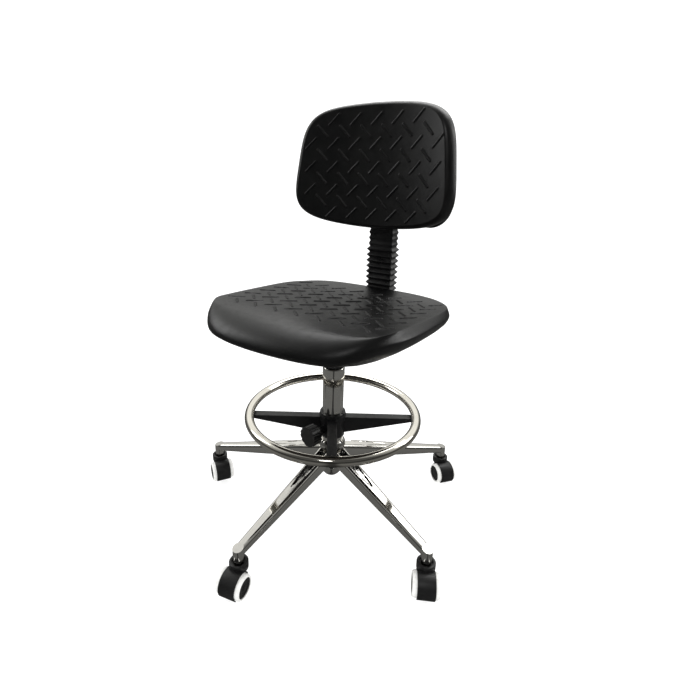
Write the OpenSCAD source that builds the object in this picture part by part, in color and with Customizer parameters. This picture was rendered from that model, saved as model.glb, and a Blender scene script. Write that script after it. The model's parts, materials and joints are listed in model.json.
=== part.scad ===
// Drafting chair with a foot ring, ribbed moulded cushions and five twin-wheel casters.
// Millimetres, +Z up. The origin is on the floor under the column, and the seat's front faces -Y.

/* [Base] */
// Radius from the column to the caster stems
base_r = 322; // [300:1:340]
// Turn of the five-legged base about the column
star_turn = 51.7; // [0:0.1:71.9]
// Width of a leg at the hub
leg_w = 38; // [32:1:40]
// Width of a leg at its tip
leg_tip_w = 21; // [16:1:22]
// Outer diameter of the column tube
column_d = 50; // [50:0.1:50]

/* [Casters] */
// Diameter of a caster wheel
wheel_d = 50; // [48:1:52]
// Distance from the swivel stem to the wheel axle
trail = 22; // [20:1:24]

/* [Foot ring] */
// Radius of the ring's centre line
ring_r = 200; // [185:1:215]
// Diameter of the ring's tube
ring_tube_d = 22; // [20:1:22]
// Height of the ring's centre line over the floor
ring_z = 254; // [254:1:262]
// Turn of the four arms about the column
arm_turn = 32; // [0:1:89]

/* [Seat] */
// Width of the seat cushion
seat_w = 460; // [450:5:480]
// Backward rake of the seat
rake = 4; // [2:0.5:5]
// Height of the rib field over the floor above the column
seat_h = 530; // [525:1:540]
// Pitch of the four bolts under the seat
bolt_pitch = 150; // [140:5:155]

/* [Backrest] */
// Width of the backrest cushion
back_w = 400; // [390:5:410]
// Hollow radius of the backrest's face
back_curve = 450; // [440:5:460]
// Distance of the backrest's face behind the column axis
back_y = 154; // [153:0.5:155]

/* [Hidden] */

$fn = 48;
e = 1;              // overlap that makes a cut run through a face
run = 0.05;         // radial clearance of a running fit

// Base
legs = 5;
hub_r = 30;
hub_bottom = 84;
hub_top = 163;
dome_r = 33;        // dome over the hub, about the column's foot
dome_top = 182;
hub_floor = 98;     // step inside the hub that carries the column tube
column_r = column_d / 2;
column_wall = 2;
column_top = 344;
collar_r = 26;
collar_top = 375;
tip_top = 92;       // height of a leg's top at its outer end
tip_depth = 17;
root_depth = 33;
leg_wall = 2;
tip_r = base_r + 11;
socket_r = 11.2;
socket_bottom = 57.5;
socket_depth = 27;
stem_r = 5.5;
caster_yaw = [319, 310, 327, 281, 296];

// Casters
wheel_r = wheel_d / 2;
axle_r = 3;
web_half = 3.5;
wheel_in = 4.2;
wheel_out = 27.5;
tread_in = 21;
arch_r = wheel_r + 3;
arch_wall = 2;
arch_half = 18.5;
collar_ring_r = 19.5;
collar_ring_top = 63;
collar_block_bottom = 44;
stem_bottom = 47;

// Gas lift
rod_r = 5;
piston_r = 12 - run;
cylinder_r = 14;
cylinder_bottom = 122;
cylinder_top = 436;
pin_r = 3;
pin_bottom = 426;
pin_top = 444;

// Foot ring
liner_r = 26.8;
liner_top = 252;
liner_bottom = 195;
spider_r = 32;
boss_r = 29.5;
arm_top = 245;
arm_w = 22;
arm_root_z = 203.5;
arm_tip_depth = 8;
knob_z = 217;
knob_dir = arm_turn + 225;
ring_screw_r = 2.5;

// Seat, in its own frame that is raked about a line through the column axis
seat_front = -262;
seat_back = 203;
seat_low = 480;
seat_skirt = 469;    // lower edge of the moulding, which wraps the board's edge
board_inset = 58;
seat_wide = 516;
seat_rim = 538;
board_t = 12;
plate_t = 3;
plate_top = seat_low - board_t;
plate_half = 95;
rail_x = 45;
rail_low = 440;
m8_r = 4;

// Lever
lever_x = -30;
lever_z = 447;
lever_end = -206;

// Back support
bar_w = 40;
bar_t = 8;
bar_z = 446;
bar_y = 226;
bar_front = 62;
bar_top = 795;
bar_bend = 12;
slot_gap = 0.1;
channel_front = 70;
channel_back = 150;
depth_knob_y = 115;

// Backrest
back_tilt = 1.75;
back_mid = 818;
back_half_h = 139;
back_t = 30;
back_board_t = 8;
shell_gap = 10;
shell_wall = 4;
shell_low = 692;
shell_high = 874;
housing_back = 252;
housing_low = 712;
housing_high = 832;
housing_half = 52;
sleeve_low = 722;
sleeve_high = 780;
back_knob_z = 751;
bellows_low = 462;
bellows_high = 708;
bellows_y = 225;
fold_pitch = 13.7;

// A ring about Z from z0 to z1
module tube(r_out, r_in, z0, z1) {
    translate([0, 0, z0]) difference() {
        cylinder(r = r_out, h = z1 - z0);
        translate([0, 0, -e]) cylinder(r = r_in, h = z1 - z0 + 2 * e);
    }
}

// A round bar about Z from z0 to z1
module rod(r, z0, z1) {
    translate([0, 0, z0]) cylinder(r = r, h = z1 - z0);
}

// A box that is centred in X and runs between two corners in Y and Z
module beam(half_x, y0, y1, z0, z1) {
    translate([-half_x, y0, z0]) cube([2 * half_x, y1 - y0, z1 - z0]);
}

// Places a side profile, drawn as X and Z, with a thickness centred on Y
module side_profile(thickness) {
    translate([0, thickness / 2, 0]) rotate([90, 0, 0]) linear_extrude(thickness) children();
}

// Places a side profile, drawn as Y and Z, with a width centred on X
module yz_profile(width) {
    translate([-width / 2, 0, 0]) rotate([90, 0, 90]) linear_extrude(width) children();
}

// A rectangle from one corner to the other with round corners
module round_rect(x0, y0, x1, y1, r) {
    union() {
        translate([x0 + r, y0]) square([x1 - x0 - 2 * r, y1 - y0]);
        translate([x0, y0 + r]) square([x1 - x0, y1 - y0 - 2 * r]);
        for (x = [x0 + r, x1 - r], y = [y0 + r, y1 - r]) translate([x, y]) circle(r);
    }
}

// Turns its children into the seat's raked frame
module raked() {
    translate([0, 0, seat_h]) rotate([-rake, 0, 0]) translate([0, 0, -seat_h]) children();
}

// ---- Base ----

// A point on the dome's section, at an angle above its widest place
function dome_point(a) = [
    column_r + (dome_r - column_r) * cos(a),
    hub_top + 5 + (dome_top - hub_top - 5) * sin(a) / sin(72)
];

module base_hub() {
    color("gainsboro") difference() {
        rotate_extrude() polygon([
            [0, hub_bottom], [18, hub_bottom], [22, hub_bottom + 5], [27, hub_floor], [hub_r, hub_floor + 14],
            [hub_r, hub_top], [dome_r, hub_top], for (a = [0 : 18 : 72]) dome_point(a), [0, dome_point(72)[1]]
        ]);
        rod(column_r, hub_floor, dome_top + e);
        rod(16, hub_bottom - e, hub_floor + e);
    }
}

function leg_top_at(r) = hub_top - (hub_top - tip_top) * (r - hub_r) / (tip_r - hub_r);

// Everything under the plane of a leg's top
module under_leg_top() {
    far = tip_r + 20;
    side_profile(4 * hub_r) polygon([[0, 0], [0, leg_top_at(0)], [far, leg_top_at(far)], [far, 0]]);
}

// The outer shape of a leg along +X, or its hollow when it is drawn in by the wall
module leg_form(inset) {
    sector = 35.6;
    intersection() {
        linear_extrude(hub_top + e) polygon([
            [hub_r - 4, inset - leg_w / 2], [base_r, inset - leg_tip_w / 2],
            [base_r, leg_tip_w / 2 - inset], [hub_r - 4, leg_w / 2 - inset]
        ]);
        side_profile(leg_w + e) polygon([
            [hub_r - 4, leg_top_at(hub_r) - inset], [base_r, leg_top_at(base_r) - inset],
            [base_r, leg_top_at(base_r) - tip_depth + inset],
            [hub_r - 4, leg_top_at(hub_r) - root_depth + inset]
        ]);
        translate([inset / sin(sector), 0, 0]) linear_extrude(hub_top + e) polygon([
            [0, 0], [2 * base_r, -2 * base_r * tan(sector)], [2 * base_r, 2 * base_r * tan(sector)]
        ]);
    }
}

module leg() {
    difference() {
        leg_form(0);
        leg_form(leg_wall);
        rod(hub_r, 0, hub_top + e);
        translate([base_r, 0, 0]) rod(socket_r, 0, hub_top);
    }
}

module base_legs() {
    color("silver") for (i = [0 : legs - 1]) rotate([0, 0, star_turn + i * 360 / legs]) leg();
}

module caster_sockets() {
    color("silver") for (i = [0 : legs - 1]) rotate([0, 0, star_turn + i * 360 / legs]) difference() {
        intersection() {
            translate([base_r, 0, 0]) rod(socket_r, socket_bottom, hub_top);
            under_leg_top();
        }
        translate([base_r, 0, 0]) rod(stem_r + run, socket_bottom - e, socket_bottom + socket_depth);
    }
}

module column_tube() {
    color("lightgray") union() {
        tube(column_r, column_r - column_wall, hub_floor, column_top);
        tube(column_r - column_wall, rod_r + run, hub_floor, hub_floor + 4);
    }
}

module column_collar() {
    plug = 14;
    color("whitesmoke") rotate_extrude() polygon([
        [15, column_top - plug], [column_r - column_wall, column_top - plug],
        [column_r - column_wall, column_top], [collar_r, column_top],
        [collar_r, collar_top - 3], [collar_r - 1.5, collar_top], [15, collar_top]
    ]);
}

module guide_bush() {
    color("ivory") tube(column_r - column_wall, cylinder_r + run, 262, 330);
}

// ---- Gas lift ----

module piston_rod() {
    color("silver") union() {
        rod(rod_r, 86, 396);
        rod(piston_r, 395, 410);
        rod(9, 110, 116);
    }
}

module thrust_bearing() {
    color("darkgray") tube(13, rod_r, hub_floor + 4, 110);
}

module rod_clip() {
    color("dimgray") tube(10, rod_r, 94, hub_floor);
}

module gas_cylinder() {
    seal = 18;
    cavity_top = 416;
    color("black") difference() {
        rod(cylinder_r, cylinder_bottom, cylinder_top);
        rod(rod_r + run, cylinder_bottom - e, cylinder_bottom + seal + e);
        rod(12, cylinder_bottom + seal, cavity_top);
        rod(pin_r + run, pin_bottom - 4, cylinder_top + e);
    }
}

module release_pin() {
    color("silver") rod(pin_r, pin_bottom, pin_top);
}

// ---- Foot ring ----

module ring_liner() {
    split = 2;
    color("dimgray") difference() {
        union() {
            tube(liner_r, column_r + 0.08, liner_bottom, liner_top + e);
            tube(31, column_r + 0.08, liner_top, liner_top + 5);
        }
        translate([0, -split / 2, liner_bottom - e]) cube([2 * spider_r, split, liner_top]);
    }
}

// One arm along +X, an upturned channel that gets shallower outward and ends under the ring
module spider_arm() {
    root = 27;
    tip = ring_r - 1;
    wall = 3;
    pocket_end = ring_r - 24;
    difference() {
        side_profile(arm_w) polygon([
            [root, arm_root_z], [ring_r - 10, arm_top - arm_tip_depth - 1],
            [tip, arm_top - arm_tip_depth + 2],
            [tip, ring_z - ring_tube_d / 2 - 0.1], [ring_r - 12, arm_top], [root, arm_top]
        ]);
        side_profile(arm_w - 2 * wall) polygon([
            [spider_r + 4, arm_root_z - 20], [pocket_end, arm_root_z - 20],
            [pocket_end, arm_top - wall - 1], [spider_r + 4, arm_top - wall - 1]
        ]);
    }
}

module ring_spider() {
    boss_out = 44;
    color("black") difference() {
        union() {
            rod(spider_r, 236, liner_top);
            rod(boss_r, liner_bottom, 237);
            for (i = [0 : 3]) rotate([0, 0, arm_turn + 90 * i]) spider_arm();
            rotate([0, 0, knob_dir]) translate([0, 0, knob_z]) rotate([0, 90, 0])
                cylinder(r = 11, h = boss_out);
        }
        rod(liner_r + run, liner_bottom - e, liner_top + e);
        rotate([0, 0, knob_dir]) translate([0, 0, knob_z]) rotate([0, 90, 0])
            cylinder(r = m8_r + run, h = boss_out + e);
        for (i = [0 : 3]) rotate([0, 0, arm_turn + 90 * i]) translate([ring_r - 6, 0, 0]) {
            rod(ring_screw_r, arm_root_z, ring_z);
        }
    }
}

module foot_ring() {
    wall = 1.5;
    color("silver") difference() {
        translate([0, 0, ring_z]) rotate_extrude() translate([ring_r, 0]) difference() {
            circle(ring_tube_d / 2);
            circle(ring_tube_d / 2 - wall);
        }
        for (i = [0 : 3]) rotate([0, 0, arm_turn + 90 * i]) translate([ring_r - 6, 0, 0]) {
            rod(ring_screw_r, ring_z - ring_tube_d, ring_z - 3);
        }
    }
}

module ring_screws() {
    head = 2.5;
    color("silver") for (i = [0 : 3]) rotate([0, 0, arm_turn + 90 * i]) translate([ring_r - 6, 0, 0]) {
        rod(ring_screw_r, arm_top - arm_tip_depth - 1, ring_z - 1);
        rod(4.5, arm_top - arm_tip_depth - 1 - head, arm_top - arm_tip_depth - 1);
    }
}

// Turns +Z of its children to the clamp knob's axis, pointing away from the column
module knob_axis() {
    rotate([0, 0, knob_dir]) translate([0, 0, knob_z]) rotate([0, 90, 0]) children();
}

module ring_clamp_pad() {
    color("peru") knob_axis() rod(m8_r, liner_r + 0.3, liner_r + 4);
}

module ring_knob_screw() {
    color("whitesmoke") knob_axis() rod(m8_r, liner_r + 4.1, 60);
}

// A fluted knob about Z whose grip runs from z0 to z1
module fluted_knob(r, z0, z1, flutes) {
    difference() {
        rod(r, z0, z1);
        for (i = [0 : flutes - 1]) rotate([0, 0, i * 360 / flutes]) translate([r + 1.6, 0, 0]) {
            rod(3.4, z0 - e, z1 + e);
        }
    }
}

module ring_knob() {
    color("black") knob_axis() difference() {
        union() {
            fluted_knob(25, 58, 82, 12);
            rod(13, 52, 59);
        }
        rod(m8_r, 51, 60);
    }
}

// ---- Seat ----

// The mechanism's pressed parts in the raked frame
module mechanism_pan() {
    rail_t = 3;
    translate([-plate_half, -plate_half, plate_top - plate_t]) cube([2 * plate_half, 2 * plate_half, plate_t]);
    for (side = [-1, 1]) translate([side * rail_x - rail_t / 2, -80, rail_low]) {
        cube([rail_t, 160, plate_top - plate_t - rail_low + e]);
    }
}

module seat_mechanism() {
    ear_t = 6;
    channel_half = bar_w / 2 + 8;
    cone_top = 438;
    color("black") difference() {
        union() {
            raked() mechanism_pan();
            rotate_extrude() polygon([
                [0, 377], [22.5, 377], [25, cone_top - 20], [25, cone_top], [0, cone_top]
            ]);
            beam(rail_x, -25, 25, cone_top - 8, cone_top);
            for (side = [-1, 1]) translate([lever_x - 8, side * 11 - ear_t / 2, cone_top - e]) {
                cube([16, ear_t, plate_top - plate_t - cone_top + 2]);
            }
            beam(channel_half, channel_front, channel_back, bar_z - 6, bar_z + bar_t + 2.5);
        }
        rod(cylinder_r, 392, cone_top + e);
        rod(cylinder_r + 4, 376, 392);
        beam(bar_w / 2 + slot_gap, channel_front - 20, channel_back + e,
            bar_z - slot_gap, bar_z + bar_t + slot_gap);
        translate([0, depth_knob_y, 0]) rod(m8_r + run, bar_z - 20, bar_z + e);
        translate([lever_x, 0, lever_z]) rotate([90, 0, 0]) cylinder(r = pin_r, h = 60, center = true);
        translate([-rail_x - 10, -9, lever_z - 7]) cube([20, 18, 13]);
        raked() for (x = [-1, 1], y = [-1, 1]) translate([x * bolt_pitch / 2, y * bolt_pitch / 2, 0]) {
            rod(m8_r + 0.25, plate_top - 10, plate_top + e);
        }
    }
}

module height_lever() {
    drop = 17;
    color("black") difference() {
        side_profile(12) union() {
            polygon([[pin_r, lever_z - 2.7], [pin_r, lever_z + 3], [lever_x, lever_z + 4], [lever_x, lever_z - 4]]);
            translate([lever_x, lever_z]) circle(7);
            polygon([
                [lever_x, lever_z - 3], [lever_x, lever_z + 3], [lever_x - 40, lever_z + 1],
                [lever_end, lever_z - drop + 3], [lever_end, lever_z - drop - 3], [lever_x - 40, lever_z - 5]
            ]);
        }
        translate([lever_x, 0, lever_z]) rotate([90, 0, 0]) cylinder(r = pin_r + run, h = 60, center = true);
    }
}

module lever_pin() {
    color("silver") translate([lever_x, 0, lever_z]) rotate([90, 0, 0])
        cylinder(r = pin_r, h = 36, center = true);
}

module lever_grip() {
    color("black") difference() {
        translate([0, 0, lever_z - 17]) side_profile(28) round_rect(lever_end - 54, -8, lever_end + 14, 8, 7);
        height_lever();
    }
}

module seat_bolts() {
    head = 5;
    color("silver") raked() for (x = [-1, 1], y = [-1, 1]) {
        translate([x * bolt_pitch / 2, y * bolt_pitch / 2, 0]) {
            rod(m8_r, plate_top - plate_t - e, seat_low - 2);
            translate([0, 0, plate_top - plate_t - head]) cylinder(r = 7.5, h = head, $fn = 6);
        }
    }
}

module tee_nuts() {
    color("silver") raked() for (x = [-1, 1], y = [-1, 1]) {
        translate([x * bolt_pitch / 2, y * bolt_pitch / 2, 0]) {
            tube(m8_r + 1.2, m8_r, plate_top + 1, seat_low);
            tube(11, m8_r, seat_low - 1.5, seat_low);
        }
    }
}

// The seat's outline, drawn in from the widest one by inset: its front corners are nearly half its width
module seat_outline(inset) {
    front_r = 160 - inset;
    rear_r = 120 - inset;
    half = seat_w / 2 - inset;
    hull() for (side = [-1, 1]) {
        translate([side * (half - front_r), seat_front + inset + front_r]) circle(front_r);
        translate([side * (half - rear_r), seat_back - inset - rear_r]) circle(rear_r);
    }
}

module seat_board() {
    color("burlywood") raked() difference() {
        translate([0, 0, plate_top]) linear_extrude(board_t) seat_outline(board_inset);
        for (x = [-1, 1], y = [-1, 1]) translate([x * bolt_pitch / 2, y * bolt_pitch / 2, 0]) {
            rod(m8_r + 1.2, plate_top - e, seat_low + e);
            rod(11, seat_low - 1.5, seat_low + e);
        }
    }
}

// The part of the seat's top behind the front edge's fall
module seat_top(inset, fall_y) {
    intersection() {
        seat_outline(inset);
        translate([-seat_w / 2, fall_y]) square([seat_w, seat_back - fall_y]);
    }
}

module seat_cushion() {
    sheet = 0.5;
    color("dimgray") raked() difference() {
        hull() {
            translate([0, 0, seat_skirt]) linear_extrude(sheet) seat_outline(42);
            translate([0, 0, seat_wide - 24]) linear_extrude(sheet) seat_outline(4);
            translate([0, 0, seat_wide]) linear_extrude(sheet) seat_top(0, seat_front + 3);
            translate([0, 0, seat_rim - 12]) linear_extrude(sheet) seat_top(4, seat_front + 25);
            translate([0, 0, seat_rim - sheet]) linear_extrude(sheet) seat_top(11, seat_front + 70);
        }
        translate([0, 0, seat_skirt - e]) linear_extrude(seat_low - seat_skirt + e) seat_outline(board_inset - 0.3);
    }
}

// ---- Back support ----

// Side profile of the flat bar, drawn as Y and Z, with a round bend
module bar_profile() {
    bend_y = bar_y + bar_t - bar_bend - bar_t;
    bend_z = bar_z + bar_t + bar_bend;
    union() {
        translate([bar_front, bar_z]) square([bend_y - bar_front, bar_t]);
        translate([bar_y, bend_z]) square([bar_t, bar_top - bend_z]);
        intersection() {
            translate([bend_y, bend_z]) difference() {
                circle(bar_bend + bar_t);
                circle(bar_bend);
            }
            translate([bend_y, bar_z]) square([bar_bend + bar_t, bar_bend + bar_t]);
        }
    }
}

module back_bar() {
    color("dimgray") yz_profile(bar_w) bar_profile();
}

module depth_knob() {
    color("black") translate([0, depth_knob_y, 0]) union() {
        fluted_knob(20, 402, 422, 10);
        rod(10, 421, 436);
        rod(m8_r, 435, bar_z - 0.1);
    }
}

module bellows() {
    folds = floor((bellows_high - bellows_low - 10) / fold_pitch);
    crest = 4;
    color("black") translate([0, bellows_y, 0]) difference() {
        union() {
            beam(33.5, -17, 17, bellows_low, bellows_high);
            for (i = [0 : folds - 1]) {
                fold_z = bellows_low + fold_pitch * (i + 0.5);
                beam(37, -21, 21, fold_z, fold_z + crest);
            }
        }
        beam(30.5, -14, 14, bellows_low - e, bellows_high + e);
    }
}

// ---- Backrest ----

// Leans its children back about the middle of the backrest's face
module leaned() {
    translate([0, back_y, back_mid]) rotate([-back_tilt, 0, 0]) translate([0, -back_y, -back_mid]) children();
}

// The backrest's outline, drawn as X and Z: narrower at the top, with large round corners
module back_outline(inset) {
    top_half = back_w / 2 - 16 - inset;
    low_half = back_w / 2 - inset;
    top = back_mid + back_half_h - inset;
    low = back_mid - back_half_h + inset;
    r_top = 68 - inset * 0.7;
    r_low = 62 - inset * 0.7;
    hull() {
        for (side = [-1, 1]) {
            translate([side * (top_half - r_top), top - r_top - 6]) circle(r_top);
            translate([side * (low_half - r_low), low + r_low + 8]) circle(r_low);
        }
        translate([-60, top - 20]) square([120, 20]);
        translate([-60, low]) square([120, 20]);
    }
}

// A slab of the backrest between two depths behind its hollow face
module back_slab(depth0, depth1, low, high) {
    leaned() translate([0, back_y - back_curve, 0]) tube(back_curve + depth1, back_curve + depth0, low, high);
}

// Keeps what lies inside a backrest outline
module within_outline(inset) {
    intersection() {
        children();
        leaned() translate([0, 2 * back_y, 0]) rotate([90, 0, 0])
            linear_extrude(4 * back_y) back_outline(inset);
        translate([-back_w, 0, 0]) cube([2 * back_w, 2 * back_y, 2 * back_mid]);
    }
}

module back_cushion() {
    color("dimgray") within_outline(0) back_slab(0, back_t, back_mid - 150, back_mid + 150);
}

module back_bolt_places() {
    for (x = [-1, 1], z = [-1, 1]) translate([x * 32, 0, back_knob_z + 20 + z * 38]) children();
}

module back_board() {
    board_in = back_t + 0.1;
    color("burlywood") difference() {
        within_outline(22) back_slab(board_in, board_in + back_board_t, shell_low + 8, shell_high - 6);
        back_bolt_places() translate([0, back_y, 0]) rotate([-90, 0, 0]) cylinder(r = 3, h = 60);
    }
}

module back_shell() {
    out = back_t + shell_gap + shell_wall;
    rim = back_t + 1;
    color("black") difference() {
        union() {
            within_outline(4) back_slab(rim, out, shell_low, shell_high);
            beam(housing_half, back_y + back_t + 12, housing_back, housing_low, housing_high);
        }
        within_outline(8) back_slab(rim - e, out - shell_wall, shell_low + shell_wall, shell_high - shell_wall);
        beam(housing_half - 3, back_y + back_t, housing_back - 3, housing_low + 3, housing_high - 3);
        beam(39, back_y + 48, bellows_y + 23, housing_low - e, housing_low + 4);
        translate([0, housing_back - 10, back_knob_z]) rotate([-90, 0, 0]) cylinder(r = 8, h = 20);
    }
}

module back_bracket() {
    plate_y = back_y + back_t + 10.5;
    plate_half_w = 42;
    sleeve_half = bar_w / 2 + 5;
    color("dimgray") difference() {
        union() {
            beam(plate_half_w, plate_y, plate_y + 4, 724, 818);
            beam(sleeve_half, plate_y + 3, bar_y + bar_t + 6, sleeve_low, sleeve_high);
        }
        beam(bar_w / 2 - 4, plate_y + 4, bar_y - 4, sleeve_low - e, sleeve_high + e);
        beam(bar_w / 2 + slot_gap, bar_y - slot_gap, bar_y + bar_t + slot_gap,
            sleeve_low - e, sleeve_high + e);
        translate([0, bar_y, back_knob_z]) rotate([-90, 0, 0]) cylinder(r = m8_r + run, h = 30);
        back_bolt_places() translate([0, plate_y - e, 0]) rotate([-90, 0, 0]) cylinder(r = 3, h = 6);
    }
}

module back_bolts() {
    plate_back = back_y + back_t + 14.5;
    color("silver") back_bolt_places() {
        translate([0, back_y + back_t + 1, 0]) rotate([-90, 0, 0]) cylinder(r = 3, h = 14);
        translate([0, plate_back, 0]) rotate([-90, 0, 0]) cylinder(r = 5.5, h = 4, $fn = 6);
    }
}

module back_knob() {
    color("black") translate([0, 0, back_knob_z]) rotate([-90, 0, 0]) union() {
        rod(m8_r, bar_y + bar_t + 0.1, housing_back + 6);
        rod(7, housing_back - 5, housing_back + 6);
        fluted_knob(22, housing_back + 5, housing_back + 27, 10);
    }
}

// ---- Casters ----

// Puts its children at caster i, with +X along the way that caster trails and Z up the stem
module at_caster(i) {
    rotate([0, 0, star_turn + i * 360 / legs]) translate([base_r, 0, 0])
        rotate([0, 0, caster_yaw[i] - star_turn - i * 360 / legs]) children();
}

// Puts its children at the axle, with +Z across the caster
module at_axle() {
    translate([trail, 0, wheel_r]) rotate([90, 0, 0]) children();
}

module caster_hood(i) {
    rim_low = 7;
    mouth = 34;
    color("black") at_caster(i) difference() {
        union() {
            at_axle() translate([0, 0, -arch_half]) difference() {
                cylinder(r = arch_r, h = 2 * arch_half);
                translate([0, 0, -e]) cylinder(r = arch_r - arch_wall, h = 2 * arch_half + 2 * e);
            }
            at_axle() translate([0, 0, -web_half]) cylinder(r = arch_r - e, h = 2 * web_half);
            difference() {
                rod(collar_ring_r, collar_block_bottom, collar_ring_top);
                at_axle() cylinder(r = arch_r - arch_wall, h = 80, center = true);
            }
        }
        rod(14, socket_bottom - 0.5, collar_ring_top + e);
        rod(stem_r, stem_bottom, socket_bottom);
        at_axle() cylinder(r = axle_r, h = 80, center = true);
        translate([trail - 2 * wheel_r, -wheel_r, -arch_r])
            cube([4 * wheel_r, 2 * wheel_r, arch_r + rim_low]);
        translate([trail - 2 * wheel_r, -wheel_r, -arch_r])
            cube([2 * wheel_r - 6, 2 * wheel_r, arch_r + mouth]);
    }
}

module caster_stem(i) {
    color("silver") at_caster(i) rod(stem_r, stem_bottom, socket_bottom + socket_depth - 3);
}

module caster_axle(i) {
    color("silver") at_caster(i) at_axle() cylinder(r = axle_r, h = 44, center = true);
}

// One wheel about Z, on the +Z side of the caster's web: a black core inside a pale tread
module caster_wheel() {
    core_top = wheel_out - 1.5;
    core_r = tread_in - 0.05;
    color("black") rotate_extrude() polygon([
        [axle_r + run, wheel_in], [core_r, wheel_in], [core_r, core_top - 1.1], [18, core_top - 1.1],
        [17, core_top], [0, core_top], [0, core_top - 2.5], [axle_r + run, core_top - 2.5]
    ]);
    color("white") rotate_extrude() polygon([
        [tread_in, wheel_in], [wheel_r - 1.5, wheel_in], [wheel_r, wheel_in + 1.5], [wheel_r, wheel_out - 5],
        [wheel_r - 1.2, wheel_out - 2], [wheel_r - 3.5, wheel_out], [18.5, wheel_out], [18.5, core_top - 1],
        [tread_in, core_top - 1]
    ]);
}

module caster_wheel_left(i) {
    at_caster(i) at_axle() mirror([0, 0, 1]) caster_wheel();
}

module caster_wheel_right(i) {
    at_caster(i) at_axle() caster_wheel();
}

base_hub();
base_legs();
caster_sockets();
column_tube();
column_collar();
guide_bush();
piston_rod();
thrust_bearing();
rod_clip();
gas_cylinder();
release_pin();
ring_liner();
ring_spider();
foot_ring();
ring_screws();
ring_clamp_pad();
ring_knob_screw();
ring_knob();
seat_mechanism();
height_lever();
lever_grip();
lever_pin();
seat_bolts();
seat_board();
tee_nuts();
seat_cushion();
back_bar();
depth_knob();
bellows();
back_bracket();
back_knob();
back_board();
back_shell();
back_bolts();
back_cushion();
caster_hood(0);  // caster_1_hood
caster_stem(0);  // caster_1_stem
caster_axle(0);  // caster_1_axle
caster_wheel_left(0);  // caster_1_wheel_left
caster_wheel_right(0);  // caster_1_wheel_right
caster_hood(1);  // caster_2_hood
caster_stem(1);  // caster_2_stem
caster_axle(1);  // caster_2_axle
caster_wheel_left(1);  // caster_2_wheel_left
caster_wheel_right(1);  // caster_2_wheel_right
caster_hood(2);  // caster_3_hood
caster_stem(2);  // caster_3_stem
caster_axle(2);  // caster_3_axle
caster_wheel_left(2);  // caster_3_wheel_left
caster_wheel_right(2);  // caster_3_wheel_right
caster_hood(3);  // caster_4_hood
caster_stem(3);  // caster_4_stem
caster_axle(3);  // caster_4_axle
caster_wheel_left(3);  // caster_4_wheel_left
caster_wheel_right(3);  // caster_4_wheel_right
caster_hood(4);  // caster_5_hood
caster_stem(4);  // caster_5_stem
caster_axle(4);  // caster_5_axle
caster_wheel_left(4);  // caster_5_wheel_left
caster_wheel_right(4);  // caster_5_wheel_right
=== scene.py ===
"""Looks of a drafting chair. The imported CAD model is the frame, in metres, with the seat's front towards -Y.

This script adds the moulded cushions, the bellows, the pressed legs and the casters' hoods and wheels. It
gives every piece a material, and rounds the edges of moulded and pressed pieces that keep their CAD shape.
"""

import json
import math

import bpy
import numpy as np
from mathutils import Matrix, Vector


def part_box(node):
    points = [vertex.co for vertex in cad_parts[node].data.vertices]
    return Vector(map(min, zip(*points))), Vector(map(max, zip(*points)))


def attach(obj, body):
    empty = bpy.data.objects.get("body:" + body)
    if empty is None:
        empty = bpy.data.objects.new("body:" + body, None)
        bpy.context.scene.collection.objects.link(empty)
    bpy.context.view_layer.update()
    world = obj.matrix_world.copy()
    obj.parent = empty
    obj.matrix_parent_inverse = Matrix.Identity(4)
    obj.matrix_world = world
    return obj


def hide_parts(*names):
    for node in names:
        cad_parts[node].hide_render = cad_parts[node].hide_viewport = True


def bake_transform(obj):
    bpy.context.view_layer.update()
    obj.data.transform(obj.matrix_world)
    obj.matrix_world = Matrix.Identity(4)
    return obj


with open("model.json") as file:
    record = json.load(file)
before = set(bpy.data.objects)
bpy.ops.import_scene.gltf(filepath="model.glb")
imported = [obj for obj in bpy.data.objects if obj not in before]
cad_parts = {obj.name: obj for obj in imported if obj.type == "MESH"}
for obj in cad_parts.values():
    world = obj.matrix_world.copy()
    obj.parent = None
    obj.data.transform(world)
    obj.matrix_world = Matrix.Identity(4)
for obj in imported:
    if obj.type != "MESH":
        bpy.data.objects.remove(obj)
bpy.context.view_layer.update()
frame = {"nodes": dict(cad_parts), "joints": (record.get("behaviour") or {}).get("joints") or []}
joints = {j["name"]: j for j in frame["joints"]}

CASTERS = range(1, 6)
MM = 0.001


# ---- Small tools ----

def smoothstep(low, high, value):
    """0 up to low, 1 from high on, and a smooth rise between."""
    t = np.clip((value - low) / (high - low), 0, 1)
    return t * t * (3 - 2 * t)


def polar(radius, angle):
    """A point on a circle, angle in radians."""
    return Vector((radius * math.cos(angle), radius * math.sin(angle)))


def fillet(points, radius, closed=True, steps=4):
    """Rounds the corners of a line of 2D points. radius is one number, or one for each point."""
    points = [Vector(p) for p in points]
    radii = radius if hasattr(radius, "__len__") else [radius] * len(points)
    line = []
    for i, corner in enumerate(points):
        end = not closed and i in (0, len(points) - 1)
        back = points[i - 1] - corner
        ahead = points[(i + 1) % len(points)] - corner
        half = back.angle(ahead) / 2 if back.length and ahead.length else math.pi / 2
        if end or radii[i] <= 0 or half > math.radians(88):
            line.append(corner)
            continue
        cut = min(radii[i] / math.tan(half), 0.48 * back.length, 0.48 * ahead.length)
        centre = corner + (back.normalized() + ahead.normalized()).normalized() * cut / math.cos(half)
        start = corner + back.normalized() * cut - centre
        stop = corner + ahead.normalized() * cut - centre
        turn = math.pi - 2 * half
        for k in range(steps + 1):
            t = k / steps
            swing = start * math.sin((1 - t) * turn) + stop * math.sin(t * turn)
            line.append(centre + swing / math.sin(turn))
    return line


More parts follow.
